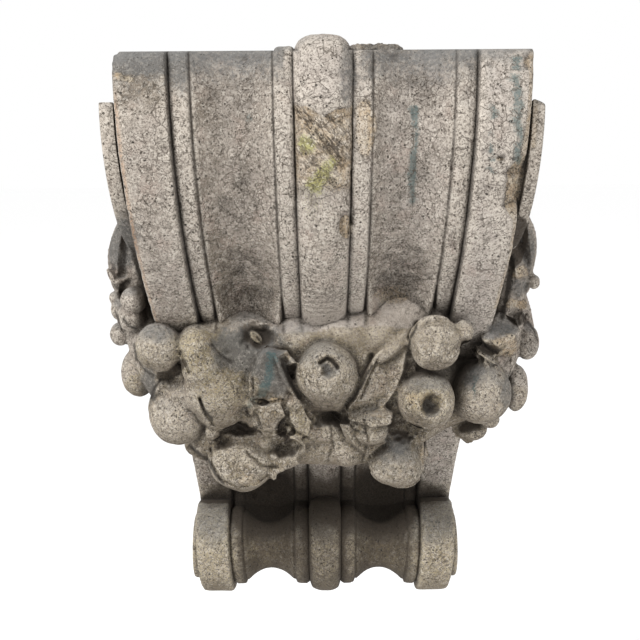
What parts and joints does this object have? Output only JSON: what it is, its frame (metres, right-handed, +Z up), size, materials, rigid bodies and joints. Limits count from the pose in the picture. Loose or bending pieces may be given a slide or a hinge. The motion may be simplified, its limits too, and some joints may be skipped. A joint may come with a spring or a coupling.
{
  "type": "terracotta corbel",
  "caption": "Weathered terracotta scrolled corbel: fluted bowed face, middle roll, fruit and leaf swag across the throat and a small foot scroll.",
  "frame": {"origin": "middle of the flat back face that is built into the wall", "axes": "+X to the right seen from the front, +Z up, the carved face looks along -Y, +Y goes into the wall"},
  "size_m": [0.6747, 0.4509, 0.9335],
  "materials": {
    "terracotta": "matt, weathered and sooted buff terracotta"
  },
  "bodies": {
    "root": {"corbel": "terracotta"}
  },
  "joints": []
}
